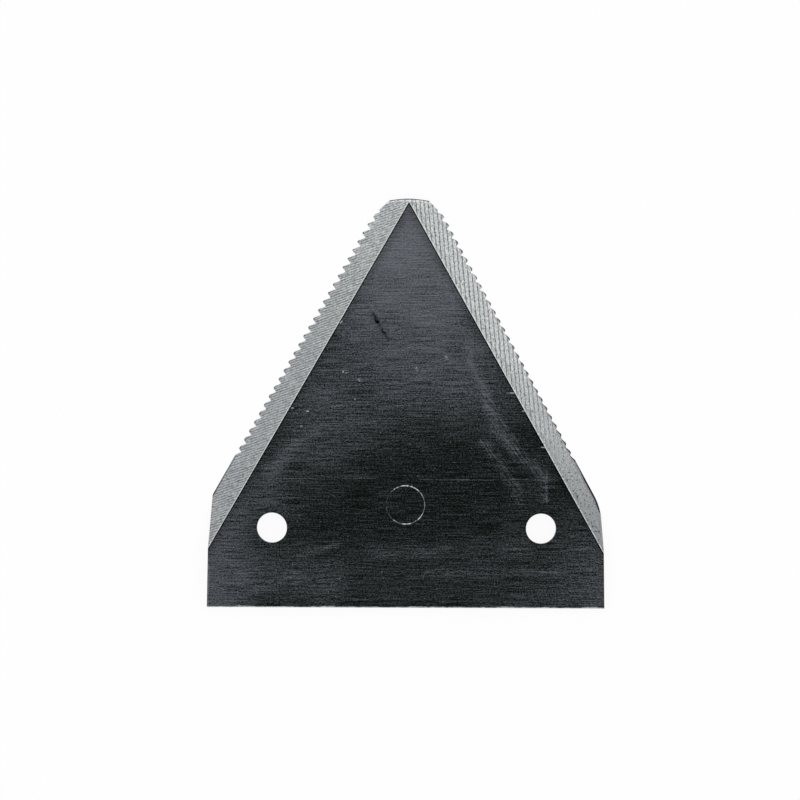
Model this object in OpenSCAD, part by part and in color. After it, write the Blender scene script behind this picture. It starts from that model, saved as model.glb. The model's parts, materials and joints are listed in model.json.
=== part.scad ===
// Sickle section of a finger-bar mower: one flat triangular knife, stamped from hardened steel
// strip. Two bevels are ground on its upper face, their edges are serrated from the underside,
// and two rivet holes in the heel hold it on the knife bar.
// Frame: origin midway between the rivet holes, on the underside. +X runs along the heel,
// +Y points to the tip and +Z out of the bevelled face. Lengths in mm, angles in degrees.

/* [Blank] */
// Thickness of the steel strip
blade_t = 2; // [1.6:0.1:3]
// Width across the two heel corners
heel_w = 75; // [72:0.5:80]
// Distance from the rivet holes down to the heel edge
heel_drop = 15; // [12:0.5:20]
// Distance from the rivet holes up to the crown of the tip
tip_rise = 62.2; // [56:0.1:68]
// Lean of the heel's sides towards the middle
heel_lean = 0.8; // [0:0.1:2]
// Distance below the rivet holes at which the sides begin to lean further in
side_break = 4; // [0:0.5:8]
// Lean of the sides between that break and the shoulders
shoulder_lean = 4.3; // [2:0.1:8]
// Radius that rounds the left shoulder
left_shoulder_r = 1.5; // [0.5:0.5:12]
// Radius that rounds the right shoulder
right_shoulder_r = 11; // [0.5:0.5:12]
// Width of the sheared strip along the upper edge of the heel
heel_break = 0.3; // [0.1:0.05:0.6]
// Slope of that strip
heel_break_slope = 45; // [30:1:60]

/* [Tip] */
// Width of the blunt tip between its two corner cuts
tip_flat_w = 7.4; // [5:0.1:9]
// Rise of the crowned tip over that width
tip_crown = 0.3; // [0.1:0.05:0.8]
// Width across the points where the corner cuts would meet the stamped edges
tip_w = 13.7; // [11:0.1:16]
// Angle of the corner cuts from the blade's middle line
tip_cut_angle = 47; // [42:0.5:60]
// Radius that blends the left corner cut into its stamped edge
left_tip_r = 20; // [4:0.5:24]
// Radius that blends the right corner cut into its stamped edge
right_tip_r = 6; // [4:0.5:24]

/* [Rivet holes] */
// Diameter of the rivet holes
hole_d = 5.7; // [4.8:0.1:7]
// Distance between the rivet holes
hole_spacing = 50.8; // [45:0.1:56]

/* [Cutting edges] */
// Angle of each stamped edge from the blade's middle line
edge_half_angle = 29; // [27.5:0.1:30.5]
// Angle of each bevel's upper line from the blade's middle line
bevel_half_angle = 29.55; // [28:0.05:31]
// Distance from the tip back to the point where the bevels meet on the upper face
bevel_setback = 0.6; // [0.2:0.1:3]
// Slope of the ground bevels
bevel_slope = 22.6; // [20:0.1:26]
// Slope of the narrow land between bevel and edge that the grinding leaves
land_slope = 45; // [35:1:60]
// Height of the blunt lip at the very edge
edge_lip = 0.05; // [0.02:0.01:0.1]

/* [Serrations] */
// Pitch of the teeth along the edge
tooth_pitch = 1.875; // [1.5:0.025:3]
// Depth of the grooves at the edge
groove_depth = 0.45; // [0.2:0.05:0.7]
// Length along the edge of each tooth's steep side, which faces the heel
steep_side = 0.45; // [0.2:0.05:0.7]
// Width of the flat floor of each groove
groove_floor = 0.2; // [0.1:0.05:0.4]
// Distance from the edge at which the grooves run out
groove_reach = 6; // [3:0.5:7]
// Distance from the rivet holes up to the end of the serrations
serration_start = 13.1; // [9:0.1:24]

/* [As made] */
// How far the heel stands to the right of the rivet holes' middle line
heel_offset = -0.1; // [-0.5:0.1:0.5]
// How far the tip stands to the right of that line
tip_offset = 0.1; // [-0.5:0.1:0.5]
// How far the crown stands to the right of the tip's own middle
crown_offset = 0.2; // [-0.4:0.1:0.4]
// How far the point where the bevels meet stands to the right of the rivet holes' middle line
grind_offset = 0.25; // [-0.5:0.05:0.5]
// Turn of the stamped edges about the tip
edge_turn = 0.5; // [-0.8:0.1:0.8]
// Turn of the ground bevels about the tip
grind_turn = 0.35; // [-0.8:0.05:0.8]

/* [Hidden] */
$fn = 64;

// Straight pieces in each rounded corner and in the crown
arc_steps = 10;
// Share of the shorter side at a corner that its rounding may take up
arc_room = 0.9;
// Edge of the blocks that cut a face away, larger than the whole blade
waste_size = 4 * heel_w;
// How far holes and combs reach past the faces that they cut
past = 1;
// How far the tops of the teeth stay below the underside, so that they keep a narrow flat
tooth_clear = 0.05;

// Lowest point of the crown, where the corner cuts begin
tip_cut_y = tip_rise - tip_crown;
// Point where a corner cut would meet its stamped edge
tip_corner = [tip_w / 2, tip_cut_y - (tip_w - tip_flat_w) / 2 / tan(tip_cut_angle)];
// Direction of the right stamped edge, from tip to heel
edge_dir = [sin(edge_half_angle), -cos(edge_half_angle)];
// Sides of the heel at the height where their lean changes
break_half_w = heel_w / 2 - (heel_drop - side_break) * tan(heel_lean);
// Direction of the right side above the break, towards the shoulder
side_dir = [-sin(shoulder_lean), cos(shoulder_lean)];
// Teeth that fit between the end of the serrations and the corner cut
teeth = floor((tip_cut_y - serration_start) / cos(edge_half_angle) / tooth_pitch);
// Place of the end of the serrations along the edge, from the tip corner
comb_end = (tip_corner.y - serration_start) / cos(edge_half_angle);

function unit(v) = v / norm(v);

function mirrored(p) = [-p.x, p.y];

// A direction turned clockwise by an angle
function turned_dir(d, turn) = [
    d.x * cos(turn) + d.y * sin(turn),
    d.y * cos(turn) - d.x * sin(turn)
];

// A point of the symmetric wedge where the stamping put it: turned about the tip and set off
function stamped(p) = [tip_offset, tip_rise] + turned_dir(p - [0, tip_rise], edge_turn);

// Where the line through p along d meets the line through q along e
function meeting(p, d, q, e) = p + d * cross(q - p, e) / cross(d, e);

// Points of the arc that rounds the corner b between a and c, of radius wanted_r or as much of it
// as the two sides have room for
function rounded(a, b, c, wanted_r) =
    let (
        to_a = unit(a - b),
        to_c = unit(c - b),
        half = acos(to_a * to_c) / 2,
        room = arc_room * min(norm(a - b), norm(c - b)),
        r = min(wanted_r, room * tan(half)),
        centre = b + unit(to_a + to_c) * r / sin(half),
        out = b - centre,
        middle = atan2(out.y, out.x),
        swing = (90 - half) * sign(cross(to_c, to_a))
    )
    [for (i = [0 : arc_steps])
        centre + r * [cos(middle + swing * (2 * i / arc_steps - 1)),
                      sin(middle + swing * (2 * i / arc_steps - 1))]];

// Points of the crowned tip, from right to left
function crown() =
    let (
        half_w = tip_flat_w / 2,
        r = (half_w ^ 2 + tip_crown ^ 2) / (2 * tip_crown),
        reach = asin(half_w / r)
    )
    [for (i = [0 : arc_steps])
        stamped([crown_offset + r * sin(reach * (1 - 2 * i / arc_steps)),
                 tip_rise - r + r * cos(reach * (1 - 2 * i / arc_steps))])];

// Outline of the stamped blank, anticlockwise from the right heel corner
function blank_outline() =
    let (
        heel_right = [heel_offset + heel_w / 2, -heel_drop],
        heel_left = [heel_offset - heel_w / 2, -heel_drop],
        break_right = [heel_offset + break_half_w, -side_break],
        break_left = [heel_offset - break_half_w, -side_break],
        corner_right = stamped(tip_corner),
        corner_left = stamped(mirrored(tip_corner)),
        shoulder_right = meeting(break_right, side_dir, corner_right, turned_dir(edge_dir, edge_turn)),
        shoulder_left = meeting(break_left, mirrored(side_dir),
                                corner_left, turned_dir(mirrored(edge_dir), edge_turn)),
        tip_points = crown()
    )
    concat(
        [heel_right, break_right],
        rounded(break_right, shoulder_right, corner_right, right_shoulder_r),
        rounded(shoulder_right, corner_right, tip_points[0], right_tip_r),
        tip_points,
        rounded(tip_points[arc_steps], corner_left, shoulder_left, left_tip_r),
        rounded(corner_left, shoulder_left, break_left, left_shoulder_r),
        [break_left, heel_left]
    );

// Sawtooth across one edge: x along the edge towards the heel, y up into the steel
function comb_profile() =
    let (first = comb_end - teeth * tooth_pitch)
    concat(
        [for (i = [0 : teeth - 1])
            each [[first + i * tooth_pitch, -tooth_clear],
                  [first + i * tooth_pitch + steep_side, groove_depth],
                  [first + i * tooth_pitch + steep_side + groove_floor, groove_depth]]],
        [[comb_end, -tooth_clear], [comb_end, -past], [first, -past]]
    );

// Puts a child that is made for the right side of a symmetric wedge on both sides of the blade,
// set off to the right and turned about the tip
module both_sides(offset, turn) {
    translate([offset, tip_rise, 0])
        rotate(-turn)
            for (side = [0, 1])
                mirror([side, 0, 0])
                    translate([0, -tip_rise, 0])
                        children();
}

// Axes along a line that runs from a point towards the heel: x along it, y outwards
module along(point, half_angle) {
    translate([point.x, point.y, 0])
        rotate(half_angle - 90)
            children();
}

// Everything above a face that falls away outwards from the X axis
module waste_above(slope) {
    rotate([-slope, 0, 0])
        translate([-waste_size / 2, -waste_size / 2, 0])
            cube(waste_size);
}

module blank() {
    linear_extrude(blade_t)
        polygon(blank_outline());
}

module grinding() {
    both_sides(grind_offset, grind_turn)
        along([0, tip_rise - bevel_setback], bevel_half_angle)
            translate([0, 0, blade_t])
                waste_above(bevel_slope);
}

module land_cuts() {
    both_sides(tip_offset, edge_turn)
        along(tip_corner, edge_half_angle)
            translate([0, 0, edge_lip])
                waste_above(land_slope);
}

// The grooves tilt, deepest at the edge, until they run out on the underside
module serration_cuts() {
    both_sides(tip_offset, edge_turn)
        along(tip_corner, edge_half_angle)
            rotate([atan(groove_depth / groove_reach), 0, 0])
                translate([0, past, 0])
                    rotate([90, 0, 0])
                        linear_extrude(groove_reach + 2 * past)
                            polygon(comb_profile());
}

module rivet_holes() {
    for (x = [-hole_spacing / 2, hole_spacing / 2])
        translate([x, 0, -past])
            cylinder(d = hole_d, h = blade_t + 2 * past);
}

module heel_strip_cut() {
    translate([0, heel_break - heel_drop, blade_t])
        rotate(180)
            waste_above(heel_break_slope);
}

module knife_section() {
    color([0.2, 0.21, 0.22])
        difference() {
            blank();
            grinding();
            land_cuts();
            serration_cuts();
            rivet_holes();
            heel_strip_cut();
        }
}

knife_section();
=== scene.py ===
# %% [markdown]
# # A knife section for a mower
# A finger-bar mower cuts with a row of flat steel triangles that slide to and fro. This lesson
# dresses one of them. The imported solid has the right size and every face, but its faces are bare:
# here each face becomes a fine numpy surface with the marks of stamping, grinding and use.
# Everything is worked out in millimetres in the plan view and turned into metres at the end.

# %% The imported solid
import json

import bmesh
import bpy
import numpy as np
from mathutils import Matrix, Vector, geometry
from mathutils.bvhtree import BVHTree


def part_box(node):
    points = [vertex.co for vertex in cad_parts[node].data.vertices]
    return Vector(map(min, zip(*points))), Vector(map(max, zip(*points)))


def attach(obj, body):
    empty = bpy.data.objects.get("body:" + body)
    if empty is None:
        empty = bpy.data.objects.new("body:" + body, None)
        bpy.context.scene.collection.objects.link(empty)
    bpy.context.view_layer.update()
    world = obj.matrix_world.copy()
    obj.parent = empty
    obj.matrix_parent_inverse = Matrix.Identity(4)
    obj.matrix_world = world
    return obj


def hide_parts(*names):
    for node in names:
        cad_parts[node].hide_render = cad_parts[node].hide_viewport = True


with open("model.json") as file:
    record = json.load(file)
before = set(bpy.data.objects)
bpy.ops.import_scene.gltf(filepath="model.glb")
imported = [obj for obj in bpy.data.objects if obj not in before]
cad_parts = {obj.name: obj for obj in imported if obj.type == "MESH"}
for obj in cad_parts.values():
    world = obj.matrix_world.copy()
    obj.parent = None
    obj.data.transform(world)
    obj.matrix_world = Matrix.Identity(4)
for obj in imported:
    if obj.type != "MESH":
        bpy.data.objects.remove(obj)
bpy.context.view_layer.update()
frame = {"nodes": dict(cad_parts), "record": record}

MM = 0.001
NODE = "knife_section"
low, high = (np.array(corner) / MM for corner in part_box(NODE))
blade_t = high[2] - low[2]
tip_y = high[1]
heel_y = low[1]
heel_half_w = (high[0] - low[0]) / 2
heel_x = (high[0] + low[0]) / 2

bores = [mount for mount in frame["record"]["mounts"] if mount["kind"] == "bore"]
hole_centres = [np.array(mount["pos_m"][:2]) / MM for mount in bores]
hole_r = bores[0]["dims"]["r_mm"]
print(f"blade {2 * heel_half_w:.1f} x {tip_y - heel_y:.1f} x {blade_t:.1f} mm, holes of r {hole_r} mm")

# %% [markdown]
# ## The stamped outline
# The blank is punched out of steel strip in one stroke. Its outline is a few straight stretches
# with rounded corners, so it could be drawn as a Bezier curve. Here it is worked out from the same
# dimensions as the solid, because the teeth and bevels have to follow it to a hundredth of a
# millimetre. One half is enough: the other half is its mirror image, apart from the roundings of tip
# and shoulder, and both are turned about the tip by the half degree that the punch was out of line.

# %% Dimensions of the blank
RIGHT = 1
LEFT = -1
SIDES = (RIGHT, LEFT)
tip_offset = 0.1
edge_turn = 0.5
tip_flat_w = 7.4
tip_crown = 0.3
tip_w = 13.7
tip_cut_angle = 47
tip_r = {RIGHT: 6, LEFT: 20}
edge_half_angle = 29
side_break = 4
heel_lean = 0.8
shoulder_lean = 4.3
shoulder_r = {RIGHT: 11, LEFT: 1.5}
strip_end_w = 0.2

tip_cut_y = tip_y - tip_crown
crown_r = ((tip_flat_w / 2) ** 2 + tip_crown ** 2) / (2 * tip_crown)
cut_drop = (tip_w - tip_flat_w) / 2 / np.tan(np.radians(tip_cut_angle))
tip_corner = np.array([tip_w / 2, tip_cut_y - cut_drop])
print(f"corner of the tip at {tip_corner.round(2)} mm")

# %% Lines and arcs in the plan


def unit(v):
    """The direction of v, of length 1."""
    return v / np.linalg.norm(v)


def turned(directions, angle):
    """Directions in the plan, turned clockwise by an angle in degrees."""
    c = np.cos(np.radians(angle))
    s = np.sin(np.radians(angle))
    x = directions[..., 0]
    y = directions[..., 1]
    return np.stack([x * c + y * s, y * c - x * s], -1)


def side_line(point, half_angle, offset, turn, side):
    """A line that falls away from the tip at half_angle: its start, its direction and the outward one.
    All three are written for the right side, mirrored for the left one, turned about the tip and set off."""
    a = np.radians(half_angle)
    mirror = np.array([side, 1])
    start = [offset, tip_y] + turned((point - np.array([0, tip_y])) * mirror, turn)
    along = turned(np.array([np.sin(a), -np.cos(a)]) * mirror, turn)
    out = turned(np.array([np.cos(a), np.sin(a)]) * mirror, turn)
    return start, along, out


def meeting(p, d, q, e):
    """The point where the line through p along d meets the line through q along e."""
    gap = q - p
    return p + d * (gap[0] * e[1] - gap[1] * e[0]) / (d[0] * e[1] - d[1] * e[0])


def rounded(before, corner, after, radius, steps=12):
    """An arc that rounds a corner. Its centre lies on the bisector, at radius / sin(half the angle),
    and its points swing about the direction back to the corner."""
    to_before = unit(before - corner)
    to_after = unit(after - corner)
    half = np.arccos(to_before @ to_after) / 2
    centre = corner + unit(to_before + to_after) * radius / np.sin(half)
    ahead = unit(to_after - to_before)
    swing = (np.pi / 2 - half) * np.linspace(-1, 1, steps + 1)[:, None]
    return centre + radius * (np.cos(swing) * unit(corner - centre) + np.sin(swing) * ahead)


edge_lines = {side: side_line(tip_corner, edge_half_angle, tip_offset, edge_turn, side) for side in SIDES}
print(f"the right edge starts at {edge_lines[RIGHT][0].round(2)} mm")

# %% [markdown]
# The tip is crowned: a flat arc that stands a little to the right of the punched edges. Both bevels
# run out over it, and they part where the ridge between them meets the arc. That point is worked
# out first, as the crossing of a line and a circle, because each half of the outline starts there.

# %% The crown of the tip
crown_offset = 0.2
grind_offset = 0.25
grind_turn = 0.35
bevel_setback = 0.6

crown_centre = [tip_offset, tip_y] + turned(np.array([crown_offset, -crown_r]), edge_turn)
apex = [grind_offset, tip_y] + turned(np.array([0, -bevel_setback]), grind_turn)
ridge_up = turned(np.array([0, 1]), grind_turn)
from_centre = apex - crown_centre
halfway = from_centre @ ridge_up
to_crown = np.sqrt(halfway ** 2 + crown_r ** 2 - from_centre @ from_centre) - halfway
from_centre = from_centre + to_crown * ridge_up
aside, upward = turned(from_centre, -edge_turn)
crown_start = np.arctan2(aside, upward)
print(f"the bevels part at {(crown_centre + from_centre).round(2)} mm on the crown")

# %% One half of the blank
CROWN_POINTS = 9


def heel_side(side, above_heel):
    """The point of the heel's side at a height above the heel edge: the sides lean in as they rise."""
    half_w = heel_half_w - above_heel * np.tan(np.radians(heel_lean))
    return np.array([heel_x + side * half_w, heel_y + above_heel])


def blank_half(side):
    """Corners of one half of the outline, from the tip down to the heel's sheared strip: the crown as an
    arc, the rounded corner of the tip, the rounded shoulder and the break in the heel's side."""
    start, along, _ = edge_lines[side]
    sweep = np.linspace(crown_start, side * np.arcsin(tip_flat_w / 2 / crown_r), CROWN_POINTS)
    crown = crown_centre + turned(crown_r * np.stack([np.sin(sweep), np.cos(sweep)], -1), edge_turn)
    side_bend = heel_side(side, -heel_y - side_break)
    lean = np.radians(shoulder_lean)
    shoulder = meeting(side_bend, np.array([-side * np.sin(lean), np.cos(lean)]), start, along)
    return np.concatenate([
        crown,
        rounded(crown[-1], start, shoulder, tip_r[side]),
        rounded(start, shoulder, side_bend, shoulder_r[side]),
        [side_bend, heel_side(side, strip_end_w)],
    ])


print(f"right half of the blank: {len(blank_half(RIGHT))} points")

# %% [markdown]
# ## Bevels and teeth
# After stamping, each edge is ground to a bevel on the upper face, and grooves are cut under it.
# A groove and the bevel meet in a notch, so the saw teeth that show from above are where two
# simple surfaces cross. The crossing could be left to a boolean. It is worked out here instead:
# both surfaces are planes along the edge, so the place where the blade is only a lip thick
# follows from one division, for the whole edge at once.

# %% Dimensions of bevels and teeth
bevel_half_angle = 29.55
bevel_slope = 22.6
land_slope = 45
edge_lip = 0.05
thinnest = 0.02
tooth_pitch = 1.875
groove_depth = 0.45
steep_side = 0.45
groove_floor = 0.2
groove_reach = 6
serration_start = 13.1
tooth_clear = 0.05

bevel_fall = np.tan(np.radians(bevel_slope))
land_rise = np.tan(np.radians(land_slope))
groove_fall = groove_depth / groove_reach
bevel_top = np.array([0, tip_y - bevel_setback])
bevel_lines = {side: side_line(bevel_top, bevel_half_angle, grind_offset, grind_turn, side) for side in SIDES}

to_edge_length = 1 / np.cos(np.radians(edge_half_angle))
teeth = int((tip_cut_y - serration_start) * to_edge_length / tooth_pitch)
comb_end = (tip_corner[1] - serration_start) * to_edge_length
tooth_starts = comb_end + tooth_pitch * (np.arange(teeth) - teeth)
saw_corners = tooth_starts[:, None] + [0, steep_side, steep_side + groove_floor]
saw_places = np.append(saw_corners.ravel(), comb_end)
saw_heights = np.append(np.tile([-tooth_clear, groove_depth, groove_depth], teeth), -tooth_clear)
print(f"{teeth} teeth on each edge")

# %% The toothed outline
COLUMN = 0.15


def filled(corners, step):
    """Sorted corners with evenly spaced values between them, no further apart than step. A corner that
    follows another by less than an eighth of a step is left out."""
    corners = np.unique(corners)
    corners = corners[np.append(True, np.diff(corners) > step / 8)]
    counts = np.append(0, np.cumsum(np.ceil(np.diff(corners) / step)))
    return np.interp(np.arange(counts[-1] + 1), counts, corners)


def from_ridge(points, side):
    """Distance from a bevel's upper line, outwards positive."""
    start, _, out = bevel_lines[side]
    return (points - start) @ out


def toothed_half(side):
    """One half of the finished outline as columns from the tip to the heel's sheared strip.
    The inset from the edge line is the blank's own, or more where groove or bevel would leave the blade
    too thin: there, land or bevel height equals groove height plus the thinnest steel that stands."""
    start, along, out = edge_lines[side]
    blank = blank_half(side)
    blank_u = (blank - start) @ along
    below_teeth = blank_u > comb_end
    ridge_gap = from_ridge(blank, side)[below_teeth]
    bevel_end = np.interp(0, ridge_gap[::-1], blank_u[below_teeth][::-1])
    saw = saw_places[(saw_places > blank_u[0]) & (saw_places < blank_u[-1])]
    u = filled(np.concatenate([blank_u, saw, [bevel_end]]), COLUMN)
    groove = np.interp(u, saw_places, saw_heights) / np.cos(np.arctan(groove_fall))
    edge_bevel = blade_t - bevel_fall * from_ridge(start + u[:, None] * along, side)
    fall_in = bevel_fall * (out @ bevel_lines[side][2])
    inset = np.max([
        np.interp(u, blank_u, (start - blank) @ out),
        (groove + thinnest - edge_lip) / (land_rise + groove_fall),
        (groove + thinnest - edge_bevel) / (fall_in + groove_fall),
        (thinnest - edge_bevel) / fall_in,
    ], axis=0)
    rim = start + u[:, None] * along - inset[:, None] * out
    bevel_z = np.minimum(blade_t - bevel_fall * from_ridge(rim, side), blade_t)
    bottom = np.maximum(groove - inset * groove_fall, 0)
    return {
        "side": side,
        "u": u,
        "rim": rim,
        "top": np.minimum(bevel_z, edge_lip + land_rise * inset),
        "bottom": bottom,
        "land_inset": np.maximum((edge_bevel - edge_lip) / (land_rise - fall_in), inset),
        "run_out": np.where(bottom > 0, groove / groove_fall, inset),
        "bevel_end": int(np.argmin(np.abs(u - bevel_end))),
    }


def inset_points(half, insets):
    """Points of one half's columns at a distance inside the edge line."""
    start, along, out = edge_lines[half["side"]]
    return start + half["u"][:, None] * along - insets[:, None] * out


halves = {side: toothed_half(side) for side in SIDES}
for side, half in halves.items():
    end = half["rim"][half["bevel_end"]].round(2)
    print(f"side {side}: {len(half['u'])} columns, bevel ends at {end} mm")

# %% [markdown]
# ## Patches
# The blade's skin is a set of patches that share their border points: two ground bevels with their
# lands, two flat faces, the heel's strip, the rim, the grooves, the holes and a stamped ring. One
# subdivided block could carry all of it, but its points would have to be dense everywhere. A patch is
# a grid of points, or a filled outline, as fine as its own form needs, with a finish. Patches are
# welded at the end, so a border that two of them take from the same columns closes without a seam.

# %% A list of patches
BODY, UNDERSIDE, GROUND_LEFT, GROUND_RIGHT, LAND, RIM, SHEARED, TORN, GROOVE = range(9)
patches = []


def add_patch(points, faces, finish, **marks):
    """Keeps a patch: points in mm, faces as rows of point numbers, its finish and any marks per point."""
    patches.append({"points": points, "faces": faces, "finish": finish, "marks": marks})


def grid_faces(rows, columns):
    """Four-sided faces of a grid whose points are counted row by row."""
    first = (np.arange(rows - 1)[:, None] * columns + np.arange(columns - 1)).ravel()
    return np.stack([first, first + 1, first + columns + 1, first + columns], -1)


def add_grid(points, finish, **marks):
    """Keeps a grid of points, shaped rows x columns x 3, as a patch."""
    rows, columns = points.shape[:2]
    flat_marks = {name: values.ravel() for name, values in marks.items()}
    add_patch(points.reshape(-1, 3), grid_faces(rows, columns), finish, **flat_marks)


def with_height(plan, z):
    """Plan points with a height each."""
    return np.concatenate([plan, np.broadcast_to(z, plan.shape[:-1])[..., None]], -1)


def between(first, last, rows):
    """Rows of points that run evenly from one line of points to another."""
    share = np.linspace(0, 1, rows)[:, None, None]
    return first + share * (last - first)


print("patches are kept in millimetres until the weld")

# %% [markdown]
# ## The ground bevels
# A coarse wheel leaves parallel furrows across each bevel: fine slanted ones on the left, wider and
# nearly upright ones on the right, because the blade was turned between the two passes. A bump map
# could fake them, but real furrows also stay in the exported mesh. So each bevel is a grid from its
# upper line out to the teeth, and its height is the plane less a few micrometres of furrow.

# %% Furrows
WHEEL = {
    LEFT: {"angle": 20, "pitch": 0.44, "depth": 0.004, "seed": 3},
    RIGHT: {"angle": -84.5, "pitch": 0.78, "depth": 0.008, "seed": 8},
}
GRIND_ROWS = 36
WAVES = 7
pitch_spread = (0.72, 1.5)
most_drift = 0.2
wave_height = 0.35
calm_border = 0.25


def smooth_step(x):
    """0 below 0, 1 above 1 and a smooth rise between."""
    x = np.clip(x, 0, 1)
    return x * x * (3 - 2 * x)


def furrows(points, angle, pitch, seed):
    """Depth of the wheel marks from 0 to 1: a sum of cosines across the marks, with seeded pitches near
    the wheel's own, whose phase drifts slowly along the marks."""
    rng = np.random.default_rng(seed)
    a = np.radians(angle)
    along = points @ np.array([np.cos(a), np.sin(a)])
    across = points @ np.array([-np.sin(a), np.cos(a)])
    pitches = pitch * rng.uniform(*pitch_spread, WAVES)
    phases = rng.uniform(0, 2 * np.pi, WAVES)
    drifts = rng.uniform(-most_drift, most_drift, WAVES)
    waves = np.cos(2 * np.pi * across[..., None] / pitches + phases + drifts * along[..., None])
    return np.clip(0.5 + wave_height * waves.sum(-1) / np.sqrt(WAVES / 2), 0, 1)


def bevel_patch(half, finish):
    """Rows from the bevel's upper line to the land, columns along the edge.
    Height is the bevel's plane less the furrows, which fade out at the borders of the patch."""
    side = half["side"]
    last = half["bevel_end"] + 1
    start, along, _ = bevel_lines[side]
    rim = half["rim"][:last]
    reach = np.maximum((rim - start) @ along, 0)
    inner = start + reach[:, None] * along
    inner[-1] = rim[-1]
    outer = inset_points(half, half["land_inset"])[:last]
    plan = between(inner, outer, GRIND_ROWS)
    share = np.linspace(0, 1, GRIND_ROWS)[:, None]
    border = np.minimum(share, 1 - share) * np.linalg.norm(outer - inner, axis=-1)
    border = np.minimum(border, np.abs(plan[..., 0] - apex[0]))
    wheel = WHEEL[side]
    marks = furrows(plan, wheel["angle"], wheel["pitch"], wheel["seed"]) * smooth_step(border / calm_border)
    z = blade_t - bevel_fall * from_ridge(plan, side) - wheel["depth"] * marks
    add_grid(with_height(plan, z), finish)
    return inner, with_height(outer, z[-1])


right, left = halves[RIGHT], halves[LEFT]
ridge_right, land_right = bevel_patch(right, GROUND_RIGHT)
ridge_left, land_left = bevel_patch(left, GROUND_LEFT)
print(f"bevels: {sum(len(patch['faces']) for patch in patches)} faces")

# %% [markdown]
# ## The land at the edge
# A narrow, steeper land runs between the bevel and the edge. On the teeth it is worn and dull, and on
# the shoulders a dark line of the stamped edge is left on it. It could be one strip with one finish.
# Here it is ruled from the bevel's last row to the rim and split along a seam, so that the dark line
# can start at the last tooth and grow to its full width.

# %% The land between bevel and edge
dark_land_w = {RIGHT: 0.34, LEFT: 0.23}
dark_land_run = {RIGHT: 4, LEFT: 9}
dark_share_ends = (0.1, 0.9)
toothed_share = 0.5
least_land_w = 0.01

for half, land, ground in ((right, land_right, GROUND_RIGHT), (left, land_left, GROUND_LEFT)):
    last = half["bevel_end"] + 1
    edge = with_height(half["rim"], half["top"])[:last]
    teeth_end = int(np.argmin(np.abs(half["u"] - comb_end)))
    width = np.linalg.norm(land[:, :2] - edge[:, :2], axis=1)
    beyond = np.clip((half["u"][:last] - comb_end) / dark_land_run[half["side"]], 0, 1)
    dark_w = dark_land_w[half["side"]] * beyond
    dark_share = np.clip(dark_w / np.maximum(width, least_land_w), *dark_share_ends)
    dark_share[:teeth_end + 1] = toothed_share
    seam = edge + dark_share[:, None] * (land - edge)
    add_grid(np.stack([land, seam]), ground)
    add_grid(np.stack([seam, edge])[:, :teeth_end + 1], LAND)
    add_grid(np.stack([seam, edge])[:, teeth_end:], RIM)
    print(f"side {half['side']}: land up to {width.max():.2f} mm wide")

# %% [markdown]
# ## The sheared heel
# The heel edge isn't ground. The shear rolled its upper edge over, cut a smooth band and then broke
# through, which left a rough, bright strip. The strip could be a plain chamfer with a noisy bump.
# Here its inner line wanders as the real one does, and the wall below gets a dented, broken zone, so
# the edge looks right from the front as well.

# %% The strip on the upper edge
STRIP_ROWS = 5
STRIP_COLUMNS = 360
strip_sway = 0.135
strip_pitches = np.array([17.0, 8.3, 4.1, 1.9, 0.9])
strip_seed = 5
calm_corner = 2
roll_power = 1.5


def wander(x, pitches, seed):
    """A wavy line between -1 and 1: cosines of the given pitches with seeded phases, shorter ones lower."""
    phases = np.random.default_rng(seed).uniform(0, 2 * np.pi, len(pitches))
    heights = np.sqrt(pitches / pitches.sum())
    waves = heights * np.cos(2 * np.pi * x[..., None] / pitches + phases)
    return waves.sum(-1) / heights.sum()


def along_heel(above_heel):
    """Points from the heel's right side to its left one, at a height above the heel edge."""
    return between(heel_side(RIGHT, above_heel), heel_side(LEFT, above_heel), STRIP_COLUMNS)[:, 0]


heel_edge = along_heel(0)
strip_line = along_heel(strip_end_w)
from_corner = heel_half_w - np.abs(heel_edge[:, 0] - heel_x)
sway = strip_sway * wander(heel_edge[:, 0], strip_pitches, strip_seed)
strip_w = strip_end_w + sway * smooth_step(from_corner / calm_corner)
strip_line[:, 1] = heel_y + strip_w
strip_plan = between(strip_line, heel_edge, STRIP_ROWS)
roll = np.linspace(0, 1, STRIP_ROWS)[:, None] ** roll_power
strip_points = with_height(strip_plan, blade_t - roll * strip_w)
add_grid(strip_points, SHEARED)
print(f"strip {strip_w.min():.2f} to {strip_w.max():.2f} mm wide")

# %% [markdown]
# ## The rim
# The wall of the blade is one strip all round, from the upper loop of border points to the lower one.
# The tool first cuts and then breaks the steel, so the upper quarter is smooth and the rest is dented.
# A displaced wall of many points could show each dent. Seven rows are enough here: seeded waves push
# them inwards by up to 0.05 mm, and fade out at the lower edge, near the tip and where only a lip is left.

# %% The rim all round
RIM_ROWS = 7
break_depth = 0.05
break_top = 0.75
break_run = 0.4
break_pitches = np.array([3.1, 1.4, 0.7, 0.37])
break_slant = 1.7
break_seed = 11
calm_foot = 0.3
calm_tip = 1
tall_wall = 1.5
tall_run = 0.4

right_end = strip_points[1:, 0]
heel_line = strip_points[-1, 1:]
left_end = strip_points[-2:0:-1, -1]
loop_top = np.concatenate([
    with_height(right["rim"], right["top"]),
    right_end,
    heel_line,
    left_end,
    with_height(left["rim"], left["top"])[::-1],
])
heel_part = np.zeros(len(right_end) + len(heel_line) + len(left_end))
loop_bottom = with_height(loop_top[:, :2], np.concatenate([right["bottom"], heel_part, left["bottom"][::-1]]))
heel_first = len(right["rim"]) + len(right_end) - 1
heel_last = heel_first + len(heel_line)

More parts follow.
